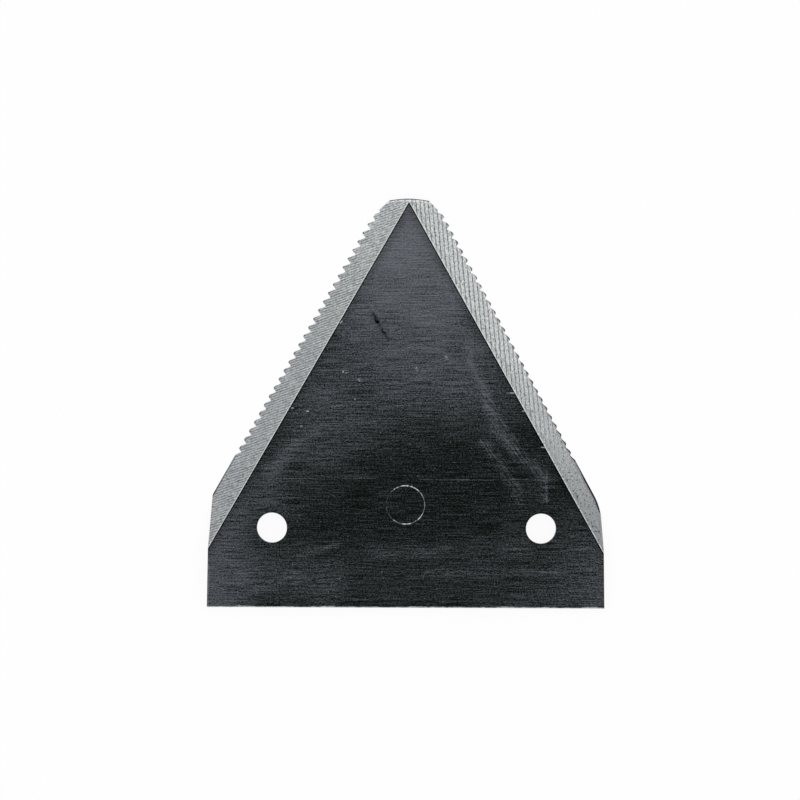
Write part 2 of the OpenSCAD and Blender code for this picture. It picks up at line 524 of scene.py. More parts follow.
tangent = np.roll(loop_top[:, :2], -1, 0) - np.roll(loop_top[:, :2], 1, 0)
tangent[[0, -1]] = [1, 0]
tangent = tangent / np.linalg.norm(tangent, axis=1)[:, None]
inward = np.stack([tangent[:, 1], -tangent[:, 0]], -1)
rim_points = between(loop_top, loop_bottom, RIM_ROWS)
step = np.linalg.norm(np.diff(loop_top[:, :2], axis=0), axis=1)
travel = np.append(0, np.cumsum(step))
from_tip = np.minimum(travel, travel[-1] - travel)
rim_z = rim_points[..., 2]
broken = smooth_step((break_top - rim_z / blade_t) / break_run) * smooth_step(rim_z / calm_foot)
tall = smooth_step((loop_top[:, 2] - tall_wall) / tall_run) * smooth_step(from_tip - calm_tip)
dents = 0.5 + 0.5 * wander(travel + break_slant * rim_z, break_pitches, break_seed)
rim_points[..., :2] += (break_depth * broken * tall * dents)[..., None] * inward
add_grid(rim_points[:, :heel_first + 1], RIM)
add_grid(rim_points[:, heel_first:heel_last + 1], TORN)
add_grid(rim_points[:, heel_last:], RIM)
print(f"rim: {len(loop_top)} columns")

# %% [markdown]
# ## The grooved underside
# The grooves were cut from below, deepest at the edge and running out on the flat. A boolean with a
# comb of wedges could cut them. But every groove face is a plane that is ruled along the edge's
# normal, so a straight rule from each rim column to the place where its groove runs out gives the
# true surface, and its columns are the rim's own.

# %% Grooves
GROOVE_ROWS = 4
run_outs = {side: inset_points(half, half["run_out"]) for side, half in halves.items()}
for side, half in halves.items():
    mouth = with_height(half["rim"], half["bottom"])
    add_grid(between(mouth, with_height(run_outs[side], 0.0), GROOVE_ROWS), GROOVE)
grooved = right["bottom"] > 0
print(f"grooves run out {right['run_out'][grooved].max():.1f} mm inside the edge line")

# %% [markdown]
# ## Holes and a stamped ring
# The rivet holes were punched, so their rims are slightly rolled. Between them the press struck a
# shallow ring. A bevel modifier would roll the rims, and a bump could stand for the ring. Both are
# profiles carried round a circle here, which costs few points and keeps the forms in the export: a
# hole's profile runs down its wall, and the ring's is a shallow furrow whose depth changes with the
# angle, since the stamp came down tilted.

# %% Round profiles
TURNS = 128
hole_roll_top = 0.12
hole_roll_bottom = 0.06
ROLL_STEPS = 5


def circle(centre, radius, count=TURNS):
    """Evenly spaced points on a circle, anticlockwise."""
    angle = np.linspace(0, 2 * np.pi, count, endpoint=False)[:, None]
    return centre + radius * np.concatenate([np.cos(angle), np.sin(angle)], 1)


def carried_round(centre, profile, count=TURNS):
    """A grid of a profile's radii and heights carried round a circle: radii and heights may differ with
    the angle, and the last column is the first again."""
    angle = np.linspace(0, 2 * np.pi, count + 1)
    radius, z = np.broadcast_arrays(profile[..., 0], profile[..., 1])
    x = centre[0] + radius * np.cos(angle)
    y = centre[1] + radius * np.sin(angle)
    return np.stack([x, y, np.broadcast_to(z, x.shape)], -1)


quarter = np.linspace(0, np.pi / 2, ROLL_STEPS)
upper_roll = np.stack([
    hole_r + hole_roll_top * (1 - np.sin(quarter)),
    blade_t - hole_roll_top * (1 - np.cos(quarter)),
], -1)
lower_roll = np.stack([
    hole_r + hole_roll_bottom * (1 - np.cos(quarter)),
    hole_roll_bottom * (1 - np.sin(quarter)),
], -1)
hole_profile = np.concatenate([upper_roll, lower_roll])[:, None, :]
for centre in hole_centres:
    add_grid(carried_round(centre, hole_profile), RIM)
print(f"{len(hole_centres)} punched holes of {2 * hole_r:.1f} mm")

# %% The ring
ring_centre = np.array([-0.2, 4.41])
ring_r = 3.62
ring_half_w = 0.23
ring_depth = 0.09
ring_power = 1.5
mean_bite = 0.56
least_bite = 0.32
bite_waves = [(1, 0.15), (2, -0.32), (9, 0.06)]
RING_ROWS = 13

ring_angle = np.linspace(0, 2 * np.pi, TURNS + 1)
bite = mean_bite + sum(height * np.cos(times * ring_angle) for times, height in bite_waves)
bite[-1] = bite[0]
across = np.linspace(-1, 1, RING_ROWS)[:, None]
furrow = (0.5 + 0.5 * np.cos(np.pi * across)) ** ring_power * np.clip(bite, least_bite, 1)
ring_profile = np.stack(np.broadcast_arrays(ring_r + ring_half_w * across, blade_t - ring_depth * furrow), -1)
add_grid(carried_round(ring_centre, ring_profile), BODY, stamp=furrow)
print(f"ring struck {ring_depth * furrow.max():.2f} mm deep")

# %% [markdown]
# ## The two flat faces
# What is left are two flat faces with round openings. A single polygon would do for the look, but
# long slivers make an ugly mesh, so each outline is filled by a constrained Delaunay triangulation
# with a lattice of inner points. The triangles inside holes and ring are left out afterwards.

# %% Filling an outline
LATTICE = 1.8
DOUBLED = 0.001
INSIDE_ONLY = 1
FILL_REACH = 1e-6


def even_odd(points, loop):
    """True for points inside a closed outline: a ray to the right crosses it an odd number of times."""
    x, y = points[:, :1], points[:, 1:]
    ahead = np.roll(loop, -1, 0)
    spans = (loop[:, 1] > y) != (ahead[:, 1] > y)
    climb = np.where(ahead[:, 1] == loop[:, 1], 1, ahead[:, 1] - loop[:, 1])
    crossing = loop[:, 0] + (y - loop[:, 1]) * (ahead[:, 0] - loop[:, 0]) / climb
    return (spans & (x < crossing)).sum(1) % 2 == 1


def lattice_inside(loops):
    """Points of a triangular lattice that lie inside the first loop and clear of all loops."""
    outline = loops[0]
    rows = np.arange(outline[:, 1].min(), outline[:, 1].max(), LATTICE * np.sqrt(3) / 2)
    columns = np.arange(outline[:, 0].min(), outline[:, 0].max(), LATTICE)
    shift = LATTICE / 2 * (np.arange(len(rows)) % 2)
    x = columns + shift[:, None]
    y = np.broadcast_to(rows[:, None], x.shape)
    points = np.stack([x.ravel(), y.ravel()], -1)
    points = points[even_odd(points, outline)]
    borders = np.concatenate(loops)
    gaps = np.linalg.norm(points[:, None] - borders[None], axis=-1).min(1)
    return points[gaps > LATTICE / 2]


def flat_face(outline, circles, voids, z, finish):
    """A flat face at height z. Its triangles come from the outline, its circles and a lattice; those whose
    middle lies in a void, given as centre, inner and outer radius, are left out."""
    apart = np.linalg.norm(outline - np.roll(outline, 1, 0), axis=1) > DOUBLED
    loops = [outline[apart]] + circles
    points = np.concatenate(loops + [lattice_inside(loops)])
    ends = np.cumsum([len(loop) for loop in loops])
    follower = np.arange(1, ends[-1] + 1)
    follower[ends - 1] = np.append(0, ends[:-1])
    edges = np.stack([np.arange(ends[-1]), follower], -1)
    filling = geometry.delaunay_2d_cdt(points.tolist(), edges.tolist(), [], INSIDE_ONLY, FILL_REACH)
    corners = np.array([corner[:] for corner in filling[0]])
    faces = np.array(filling[2])
    middles = corners[faces].mean(1)
    keep = np.ones(len(faces), bool)
    for centre, inner_r, outer_r in voids:
        reach = np.linalg.norm(middles - centre, axis=1)
        keep &= (reach < inner_r) | (reach > outer_r)
    used, renumbered = np.unique(faces[keep], return_inverse=True)
    add_patch(with_height(corners[used], z), renumbered.reshape(-1, 3), finish)
    return keep.sum()


top_outline = np.concatenate([
    ridge_right,
    right["rim"][right["bevel_end"]:],
    strip_points[0, 1:-1, :2],
    left["rim"][:left["bevel_end"] - 1:-1],
    ridge_left[::-1],
])
top_r = hole_r + hole_roll_top
ring_inner, ring_outer = ring_r - ring_half_w, ring_r + ring_half_w
top_circles = [circle(centre, top_r) for centre in hole_centres]
top_circles += [circle(ring_centre, ring_inner), circle(ring_centre, ring_outer)]
top_voids = [(centre, 0, top_r) for centre in hole_centres] + [(ring_centre, ring_inner, ring_outer)]
top_count = flat_face(top_outline, top_circles, top_voids, blade_t, BODY)

under_outline = np.concatenate([
    run_outs[RIGHT],
    loop_top[len(right["rim"]):len(loop_top) - len(left["rim"]), :2],
    run_outs[LEFT][::-1],
])
under_r = hole_r + hole_roll_bottom
under_circles = [circle(centre, under_r) for centre in hole_centres]
under_voids = [(centre, 0, under_r) for centre in hole_centres]
under_count = flat_face(under_outline, under_circles, under_voids, 0.0, UNDERSIDE)
print(f"flat faces: {top_count} triangles above, {under_count} below")

# %% [markdown]
# ## The weld
# All patches go into one mesh, their doubled border points are merged and the faces are turned
# outwards. A closed skin has no open edge and encloses as much steel as the solid does, so both are
# printed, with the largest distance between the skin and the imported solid.

# %% One closed mesh
SHARP = 18
MERGE = 1e-6


def closed_mesh(name):
    """Joins all patches into a mesh in metres, with a finish number per face and the marks per point."""
    points = np.concatenate([patch["points"] for patch in patches]) * MM
    starts = np.append(0, np.cumsum([len(patch["points"]) for patch in patches]))
    faces = [face for patch, start in zip(patches, starts) for face in (patch["faces"] + start).tolist()]
    finishes = np.repeat([patch["finish"] for patch in patches], [len(patch["faces"]) for patch in patches])
    mesh = bpy.data.meshes.new(name)
    mesh.from_pydata(points.tolist(), [], faces)
    mesh.polygons.foreach_set("material_index", finishes.astype(np.int32))
    struck = [patch["marks"].get("stamp", np.zeros(len(patch["points"]))) for patch in patches]
    attribute = mesh.attributes.new("stamp", "FLOAT", "POINT")
    attribute.data.foreach_set("value", np.concatenate(struck).astype(np.float32))
    skin = bmesh.new()
    skin.from_mesh(mesh)
    bmesh.ops.remove_doubles(skin, verts=skin.verts, dist=MERGE)
    bmesh.ops.recalc_face_normals(skin, faces=skin.faces)
    open_edges = sum(not edge.is_manifold for edge in skin.edges)
    steel = skin.calc_volume(signed=True) / MM ** 3
    if steel < 0:
        bmesh.ops.reverse_faces(skin, faces=skin.faces)
    triangles = sum(len(face.verts) - 2 for face in skin.faces)
    skin.to_mesh(mesh)
    skin.free()
    mesh.shade_smooth()
    mesh.set_sharp_from_angle(angle=np.radians(SHARP))
    print(f"{name}: {triangles} triangles, {open_edges} open edges, {abs(steel):.0f} mm3 of steel")
    return mesh


blade = bpy.data.objects.new("blade_skin", closed_mesh("blade_skin"))
bpy.context.scene.collection.objects.link(blade)

solid = bmesh.new()
solid.from_mesh(frame["nodes"][NODE].data)
nearest = BVHTree.FromBMesh(solid)
gaps = [nearest.find_nearest(vertex.co)[3] for vertex in blade.data.vertices]
solid_steel = solid.calc_volume() / MM ** 3
solid.free()
print(f"skin lies within {max(gaps) / MM:.3f} mm of the solid, which holds {solid_steel:.0f} mm3")

# %% [markdown]
# ## Finishes
# Every finish is a metal with a colour that changes over the surface. Painted image textures would
# need a picture, so the patterns are node networks on Object coordinates instead. A few small
# helpers keep the networks readable: each puts down a node or a few and returns an output.

# %% Node helpers


def put(tree, kind, sockets, **settings):
    """Adds a node, sets its options and fills its sockets with constants or with other nodes' outputs."""
    node = tree.nodes.new(kind)
    for name, setting in settings.items():
        setattr(node, name, setting)
    for name, source in sockets.items():
        if isinstance(source, bpy.types.NodeSocket):
            tree.links.new(source, node.inputs[name])
        else:
            node.inputs[name].default_value = source
    return node


def worked_out(tree, operation, *terms):
    """A number from a Math node."""
    return put(tree, "ShaderNodeMath", dict(enumerate(terms)), operation=operation).outputs[0]


def vector_of(tree, operation, *terms):
    """A vector from a Vector Math node."""
    return put(tree, "ShaderNodeVectorMath", dict(enumerate(terms)), operation=operation).outputs["Vector"]


def number_of(tree, operation, *terms):
    """A number from a Vector Math node, such as a length or a dot product."""
    return put(tree, "ShaderNodeVectorMath", dict(enumerate(terms)), operation=operation).outputs["Value"]


def multiplied(tree, vector, factor):
    """A vector, or a colour, times a number."""
    node = put(tree, "ShaderNodeVectorMath", {0: vector, "Scale": factor}, operation="SCALE")
    return node.outputs["Vector"]


def scaled(tree, source, factor):
    """A number times a factor."""
    return worked_out(tree, "MULTIPLY", source, factor)


def joined(tree, operation, terms):
    """Several numbers joined into one, by ADD, MAXIMUM or the like."""
    result, *others = terms
    for term in others:
        result = worked_out(tree, operation, result, term)
    return result


def total(tree, terms):
    """The sum of several numbers."""
    return joined(tree, "ADD", terms)


def axes_of(tree, place):
    """The numbers X, Y and Z of a place."""
    return put(tree, "ShaderNodeSeparateXYZ", {"Vector": place}).outputs


print("numbers and vectors ready")

# %% Patterns and colours
NOISE_SPAN = (0.3, 0.7)


def eased(tree, source, low_end, high_end, to_low=0.0, to_high=1.0):
    """A number eased from one range to another, and held at its ends."""
    sockets = {
        "Value": source,
        "From Min": low_end,
        "From Max": high_end,
        "To Min": to_low,
        "To Max": to_high,
    }
    return put(tree, "ShaderNodeMapRange", sockets, interpolation_type="SMOOTHSTEP").outputs["Result"]


def measured(tree, place, size, angle):
    """A place measured along an angle, in units of a length, a width and a height in mm. A height that
    isn't given is 1 mm."""
    turn = (0.0, 0.0, np.radians(angle))
    sockets = {"Vector": place, "Rotation": turn, "Scale": (*size, 1.0)[:3]}
    return put(tree, "ShaderNodeMapping", sockets, vector_type="TEXTURE").outputs["Vector"]


def grain(tree, place, size, angle=0.0, detail=2.0):
    """Noise whose grains have a size in mm and lie at an angle. Nearly all of it is in NOISE_SPAN."""
    sockets = {"Vector": measured(tree, place, size, angle), "Scale": 1.0, "Detail": detail}
    return put(tree, "ShaderNodeTexNoise", sockets, noise_dimensions="3D").outputs["Fac"]


def blended(tree, factor, first, second):
    """A colour between two, by a factor."""
    node = put(tree, "ShaderNodeMix", {0: factor, 6: first, 7: second}, data_type="RGBA")
    return node.outputs[2]


def seen(*rgb):
    """A colour as an eye or a screen gives it, from 0 to 255, as the light that it sends back."""
    shares = np.array(rgb) / 255
    light = np.where(shares > 0.04045, ((shares + 0.055) / 1.055) ** 2.4, shares / 12.92)
    return (*light.tolist(), 1.0)


print(f"a middle grey sends back {seen(128, 128, 128)[0]:.2f} of the light")

# %% A metal to start from


def new_finish(name):
    """A metal material: its tree, its shader and its Object coordinates in mm."""
    material = bpy.data.materials.new(name)
    material.use_nodes = True
    tree = material.node_tree
    shader = tree.nodes["Principled BSDF"]
    shader.inputs["Metallic"].default_value = 1.0
    coordinates = tree.nodes.new("ShaderNodeTexCoord").outputs["Object"]
    place = vector_of(tree, "MULTIPLY", coordinates, (1 / MM, 1 / MM, 1 / MM))
    return material, tree, shader, place


def roughened(tree, shader, height, depth_mm):
    """Lets a pattern of heights bend the light as if it were depth_mm deep."""
    sockets = {"Height": height, "Distance": depth_mm * MM, "Strength": 1.0}
    normal = put(tree, "ShaderNodeBump", sockets).outputs["Normal"]
    tree.links.new(normal, shader.inputs["Normal"])


print("every finish starts as a plain metal")

# %% [markdown]
# ## Dark rolled steel
# The flat faces still carry the dark skin of the rolled and hardened strip. It looks blue-grey near the
# tip and almost black in the middle, with fine lines along the rolling direction. The blue-grey is partly
# the skin's own tone and partly a painted sheen, the reflection of the room, lighter near the tip and at
# the heel's corners. One noise between two colours would be even all over, and the real skin isn't. So a
# level says how far the colour is from dark to pale steel: a curve along the blade gives it, and broad
# tones raise or lower it in places. Both carry the painted sheen as well as the skin's own tone. Each
# tone is a line with a width and a level, which eases out to both sides.

# %% Tones of the dark skin
dark_steel = seen(13, 19, 15)
pale_steel = seen(112, 115, 122)
# Levels along the blade: partly the skin's own tone, partly a painted sheen that is lighter near the tip.
sheen_and_tone_along = [
    (-15, 0.115),
    (-5, 0.08),
    (0, 0.03),
    (10, 0.015),
    (15, 0.055),
    (22, 0.2),
    (30, 0.36),
    (37, 0.44),
    (46, 0.73),
]
# Broad tones, partly the skin's own and partly painted sheen; the large lifts at the heel's two corners are
# painted sheen.
sheen_and_broad_tones = [
    ((-37.5, -13.0), (-36.0, 2.0), 12.0, 0.36),
    ((38.0, -13.0), (37.0, -5.0), 14.0, 0.22),
    ((-16.0, 15.0), (-27.0, 7.0), 12.0, 0.13),
    ((-27.0, 12.5), (-25.0, 5.0), 5.5, 0.09),
    ((-20.0, 26.0), (-15.0, 22.0), 4.0, 0.05),
    ((-29.0, -6.5), (-20.0, -5.0), 5.0, 0.07),
    ((13.0, -4.0), (22.0, -3.5), 4.0, 0.1),
    ((20.0, 1.0), (27.0, 12.0), 4.5, 0.07),
    ((-3.0, 27.0), (12.0, 26.0), 5.0, 0.06),
    ((-6.0, 50.0), (-17.5, 31.0), 9.0, -0.13),
    ((8.0, 48.0), (23.5, 20.0), 7.0, -0.1),
    ((7.0, 16.5), (9.5, 15.5), 4.5, -0.04),
    ((29.5, 4.0), (36.5, 0.0), 5.0, 0.05),
    ((8.0, 36.5), (12.5, 35.5), 4.0, 0.08),
    ((-16.5, 33.0), (-16.0, 28.5), 3.5, 0.07),
    ((20.0, 28.5), (24.0, 20.0), 3.0, 0.07),
    ((-29.5, 12.0), (-28.5, 8.0), 3.5, 0.04),
    ((-20.0, -12.0), (-11.0, -12.0), 3.0, 0.04),
    ((22.0, -12.5), (29.0, -12.5), 3.5, 0.05),
]


def near_line(tree, place, start, end, width):
    """1 on a straight line, easing to 0 at a width beside it. The nearest point of the line is found by
    its share of the way, the dot product with the line over the line's squared length, held to 0..1."""
    run = (end[0] - start[0], end[1] - start[1], 0.0)
    squared = run[0] ** 2 + run[1] ** 2
    flat = vector_of(tree, "MULTIPLY", place, (1.0, 1.0, 0.0))
    offset = vector_of(tree, "SUBTRACT", flat, (start[0], start[1], 0.0))
    way = worked_out(tree, "DIVIDE", number_of(tree, "DOT_PRODUCT", offset, run), squared)
    held = put(tree, "ShaderNodeClamp", {"Value": way}).outputs["Result"]
    gap = number_of(tree, "DISTANCE", offset, multiplied(tree, run, held))
    return eased(tree, gap, 0.0, width, 1.0, 0.0)


def levels_of(tree, place, marks):
    """The level of each mark that is given as start, end, width and level."""
    return [scaled(tree, near_line(tree, place, *ends, width), level) for *ends, width, level in marks]


def marked(tree, place, marks):
    """The summed levels of marks."""
    return total(tree, levels_of(tree, place, marks))


def level_along(tree, place, stops):
    """A level that changes along the blade: straight stretches between stops of y and level."""
    sockets = {"Value": axes_of(tree, place)["Y"], "From Min": heel_y, "From Max": tip_y}
    share = put(tree, "ShaderNodeMapRange", sockets).outputs["Result"]
    ramp = put(tree, "ShaderNodeValToRGB", {"Fac": share})
    elements = ramp.color_ramp.elements
    while len(elements) < len(stops):
        elements.new(0.5)
    for element, (stop, level) in zip(elements, stops):
        element.position = (stop - heel_y) / (tip_y - heel_y)
        element.color = (level, level, level, 1.0)
    return ramp.outputs["Color"]


print(f"{len(sheen_and_broad_tones)} broad tones on the upper face")

# %% [markdown]
# ### Marks of use
# Fingers, grass and files have rubbed the skin. Pale smears sweep down to the right and up to the
# left, thin bright lines run along the heel, and spots and specks shine. They could be painted on an
# image. Here they are lines with a width and a level again, multiplied by noise that lies in the
# direction of the wiping, so they stay sharp from near and need no picture.

# %% Smears, lines and spots
smears_to_right = [
    ((11.4, 35.0), (11.9, 31.3), 1.5, 0.16),
    ((11.9, 31.3), (14.9, 25.6), 1.6, 0.2),
    ((14.9, 25.6), (15.7, 22.4), 1.8, 0.24),
    ((15.7, 22.4), (17.0, 18.9), 2.0, 0.2),
    ((17.0, 18.9), (20.8, 14.1), 1.9, 0.28),
    ((20.8, 14.1), (25.4, 10.6), 1.8, 0.22),
    ((16.2, 22.7), (20.7, 16.4), 0.5, 0.26),
    ((16.7, 18.7), (21.0, 14.9), 0.45, 0.34),
    ((14.2, 16.6), (16.0, 13.4), 0.45, 0.26),
    ((14.6, 16.2), (17.5, 12.4), 1.6, 0.17),
    ((17.5, 12.4), (20.8, 7.6), 1.8, 0.18),
    ((20.8, 7.6), (21.0, 5.0), 1.8, 0.14),
    ((25.9, 10.0), (25.9, 5.6), 1.3, 0.15),
    ((26.4, 10.5), (26.4, 5.2), 0.4, 0.34),
]
smears_to_left = [
    ((-25.5, 10.4), (-22.3, 14.4), 2.6, 0.19),
    ((-22.3, 14.4), (-19.6, 17.1), 2.2, 0.17),
    ((-19.6, 17.1), (-16.4, 18.7), 2.0, 0.13),
    ((-16.4, 18.7), (-3.1, 20.0), 1.8, 0.09),
    ((-20.0, 13.6), (-4.0, 16.2), 3.0, 0.07),
    ((-20.0, -4.7), (-13.0, -3.2), 1.2, 0.12),
    ((4.0, -8.4), (29.0, -8.2), 1.6, 0.1),
    ((-30.0, -10.0), (-14.0, -9.0), 4.5, 0.14),
    ((-7.0, -4.6), (7.0, -4.4), 2.2, 0.12),
    ((3.0, 38.5), (5.6, 38.5), 2.0, 0.1),
    ((-5.5, 31.3), (-3.6, 33.2), 1.2, 0.08),
    ((-3.6, 33.2), (0.5, 34.2), 1.2, 0.1),
    ((0.5, 34.2), (5.8, 33.7), 1.2, 0.1),
    ((5.8, 33.7), (7.5, 32.7), 1.2, 0.08),
]
wiped_right = -55
wiped_left = 24
bright_lines = [
    ((-23.0, 9.3), (-6.0, 9.4), 0.14, 0.24),
    ((-21.0, 9.8), (-1.5, 9.8), 0.14, 0.18),
    ((2.6, 9.2), (28.0, 9.2), 0.16, 0.24),
    ((9.8, 9.2), (11.7, 9.2), 0.2, 0.3),
    ((22.6, -8.1), (28.4, -8.1), 0.16, 0.4),
    ((-13.3, 23.2), (-11.2, 23.2), 0.14, 0.4),
    ((-37.4, -14.4), (-37.25, -6.0), 0.25, 0.4),
]
light_spots = [(-12.1, 29.5), (-9.1, 28.0), (1.6, 30.1), (7.2, 32.2), (-3.1, 37.4)]
spot_length = 0.4
spot_w = 0.7


def smeared(tree, place, smears):
    """The highest level of smears that run on into each other."""
    return joined(tree, "MAXIMUM", levels_of(tree, place, smears))


def spot_at(tree, place, spot):
    """1 on a short level line from the spot's left end, easing to 0 around it."""
    return near_line(tree, place, spot, (spot[0] + spot_length, spot[1]), spot_w)


def wear_and_sheen(tree, place):
    """How use and a painted sheen change the skin's level: broad tones, which are partly painted sheen,
    and smears, lines, spots and specks that noise breaks up."""
    swept_right = grain(tree, place, (4.0, 0.35), wiped_right, detail=3.0)
    swept_left = grain(tree, place, (3.0, 0.8), wiped_left, detail=5.0)
    right_wipes = eased(tree, swept_right, 0.38, 0.62, 0.35, 1.55)
    left_wipes = eased(tree, swept_left, 0.35, 0.65, 0.6, 1.4)
    line_breaks = eased(tree, grain(tree, place, (2.0, 0.6)), 0.3, 0.5, 0.2, 1.0)
    spots = [spot_at(tree, place, spot) for spot in light_spots]
    spot_breaks = eased(tree, grain(tree, place, (0.3, 0.3), detail=1.0), 0.46, 0.62, 0.0, 0.6)
    specks = grain(tree, place, (0.4, 0.35), detail=0.0)
    return total(tree, [
        marked(tree, place, sheen_and_broad_tones),
        scaled(tree, smeared(tree, place, smears_to_right), right_wipes),
        scaled(tree, smeared(tree, place, smears_to_left), left_wipes),
        scaled(tree, marked(tree, place, bright_lines), line_breaks),
        scaled(tree, total(tree, spots), spot_breaks),
        eased(tree, specks, 0.76, 0.84, 0.0, 0.5),
    ])


print(f"{len(smears_to_right + smears_to_left)} smears, {len(bright_lines)} lines, {len(light_spots)} spots")

# %% [markdown]
# ### Scratches and bare steel
# Beside the bevels a painted shade dims the skin, with a painted dark line where the grinding starts,
# and old scratches are black. Where the skin is gone, in the struck ring and in small nicks, bright
# steel shows. Another level would only make it pale, so these go further: the painted shade and the
# dark marks take light from the colour, and bright ones blend it into that of bare steel. The ring is
# found by the stamp that its points carry.

# %% Scratches, nicks and the ring
worn_bright = seen(214, 217, 219)
dark_scratches = [
    ((-6.3, 40.2), (-5.7, 39.0), 0.7, 0.8),
    ((-5.7, 39.0), (-4.5, 36.9), 0.65, 0.6),
    ((-4.5, 36.9), (-3.5, 35.6), 0.6, 0.6),
    ((-17.4, -10.0), (-16.4, -10.5), 0.6, 0.6),
    ((18.1, 13.6), (19.0, 13.4), 0.3, 0.5),
    ((26.8, -3.0), (27.4, -2.8), 0.3, 0.5),
    ((-12.0, -14.4), (12.0, -14.4), 0.9, 0.4),
]
nicks = [
    ((18.9, 25.6), (19.6, 25.6), 0.14, 0.25),
    ((19.6, 25.6), (20.2, 25.6), 0.16, 0.6),
    ((21.8, 22.2), (22.3, 22.2), 0.14, 0.55),
    ((25.4, 15.4), (26.1, 15.3), 0.14, 0.6),
    ((-12.6, 38.7), (-12.3, 39.0), 0.2, 0.55),
    ((-21.8, 22.6), (-21.4, 22.6), 0.16, 0.6),
    ((-12.1, 29.4), (-12.0, 29.6), 0.2, 0.5),
    ((-11.5, 29.3), (-11.4, 29.3), 0.16, 0.35),
    ((-9.1, 28.0), (-8.9, 27.7), 0.18, 0.35),
    ((1.7, 30.3), (1.9, 30.2), 0.16, 0.35),
    ((1.9, 29.8), (2.0, 29.8), 0.14, 0.3),
    ((7.3, 32.4), (7.5, 32.3), 0.16, 0.5),
    ((-18.9, 22.0), (-18.6, 22.0), 0.24, 0.5),
    ((-9.9, 24.3), (-9.8, 24.3), 0.18, 0.45),
    ((-20.0, 19.2), (-19.8, 19.2), 0.2, 0.35),
]


def beyond_line(tree, place, lines):
    """Distance outwards from the nearer of two side lines, negative between them."""
    gaps = []
    for start, _, out in lines.values():
        dot = number_of(tree, "DOT_PRODUCT", place, (out[0], out[1], 0.0))
        gaps.append(worked_out(tree, "SUBTRACT", dot, float(start @ out)))
    return joined(tree, "MAXIMUM", gaps)


def painted_shade_and_scratches(tree, place):
    """What is left of the light on the upper face: a painted shade dims it beside the bevels, with a
    painted dark line at their upper edge, and the scratches are dark."""
    ridge_gap = beyond_line(tree, place, bevel_lines)
    # Painted shade: dimmer beside the bevels, with a dark line at their upper edge.
    dimmed = eased(tree, ridge_gap, -2.0, -0.3, 1.0, 0.72)
    painted_dark_line = eased(tree, ridge_gap, -0.3, -0.2, 1.0, 0.25)
    scratch_breaks = eased(tree, grain(tree, place, (0.7, 0.7)), 0.4, 0.6, 0.5, 1.0)
    scratched = scaled(tree, marked(tree, place, dark_scratches), scratch_breaks)
    return scaled(tree, scaled(tree, dimmed, painted_dark_line), worked_out(tree, "SUBTRACT", 1.0, scratched))


def bared(tree, place):
    """Where bright steel shows: in the stamped ring and in small nicks."""
    struck = put(tree, "ShaderNodeAttribute", {}, attribute_name="stamp").outputs["Fac"]
    ring_breaks = eased(tree, grain(tree, place, (0.7, 0.7), detail=3.0), 0.42, 0.58, 0.15, 1.0)
    ring = scaled(tree, eased(tree, struck, 0.18, 0.74), ring_breaks)
    return worked_out(tree, "ADD", ring, marked(tree, place, nicks))


print(f"{len(dark_scratches)} dark scratches, {len(nicks)} bright nicks")

# %% [markdown]
# ### The dark faces
# All of this comes together in one recipe, with stretched noise for the streaks of rolling. The
# underside was never ground, struck or rubbed bright, so it is the same recipe without the marks.

# %% Both dark faces


def rolling_grain(tree, place):
    """Fine unevenness of the rolled skin, about -0.7 to 0.7: long dashes, dots and clumps of dots."""
    return total(tree, [
        eased(tree, grain(tree, place, (6.0, 0.17), detail=2.0), *NOISE_SPAN, -0.26, 0.26),
        eased(tree, grain(tree, place, (0.28, 0.2), detail=1.0), *NOISE_SPAN, -0.34, 0.34),
        eased(tree, grain(tree, place, (0.9, 0.4), detail=2.0), *NOISE_SPAN, -0.12, 0.12),
    ])


def rolled_steel(name, upper):
    """The dark skin of a flat face: a level from dark to pale steel, with clouds and grain in it, times the
    light of the streaks. The level holds a painted sheen as well as the skin's tone, and on the upper face
    the light also holds a painted shade beside the bevels. Only the upper face has the marks of stamping,
    grinding and use."""
    material, tree, shader, place = new_finish(name)
    cloud = eased(tree, grain(tree, place, (14, 7), detail=4.0), 0.25, 0.75, 0.85, 1.15)
    streaks = grain(tree, place, (16, 0.28), detail=3.0)
    # The level along the blade holds a painted sheen as well as the skin's own tone.
    paleness = scaled(tree, level_along(tree, place, sheen_and_tone_along), cloud)
    light = eased(tree, streaks, *NOISE_SPAN, 0.86, 1.14)
    if upper:
        # Wear, and broad tones that are partly a painted sheen, raise the level.
        paleness = worked_out(tree, "ADD", paleness, wear_and_sheen(tree, place))
        # The light of the streaks also takes the painted shade beside the bevels and the dark scratches.
        light = scaled(tree, light, painted_shade_and_scratches(tree, place))
    unevenness = scaled(tree, rolling_grain(tree, place), eased(tree, paleness, 0.0, 0.3, 0.5, 0.8))
    level = worked_out(tree, "ADD", paleness, unevenness)
    colour = multiplied(tree, blended(tree, level, dark_steel, pale_steel), light)
    if upper:
        colour = blended(tree, bared(tree, place), colour, worn_bright)
    tree.links.new(colour, shader.inputs["Base Color"])
    tree.links.new(eased(tree, streaks, 0.25, 0.75, 0.36, 0.54), shader.inputs["Roughness"])
    roughened(tree, shader, streaks, 0.006)
    return material


body_finish = rolled_steel("dark_rolled_steel", upper=True)
under_finish = rolled_steel("dark_underside_steel", upper=False)
print(f"{body_finish.name}: {len(body_finish.node_tree.nodes)} nodes")

# %% [markdown]
# ## Ground steel
# The bevels are bare, bright steel. The furrows in the mesh are only micrometres deep, so the colour
# has to show the wheel's marks as well: dirt stays in the furrows, and the crests are polished. Noise
# alone would look brushed. So dark lines come from a wave texture with the wheel's direction and
# pitch, and noise breaks them into dashes. Pits, which are denser at the heel, a painted highlight along
# the ridge, a duller band beside it on the right and a dull grey towards the heel complete the look.

# %% Looks of the bevels
bright_steel = seen(216, 219, 218)
furrow_steel = seen(106, 109, 111)
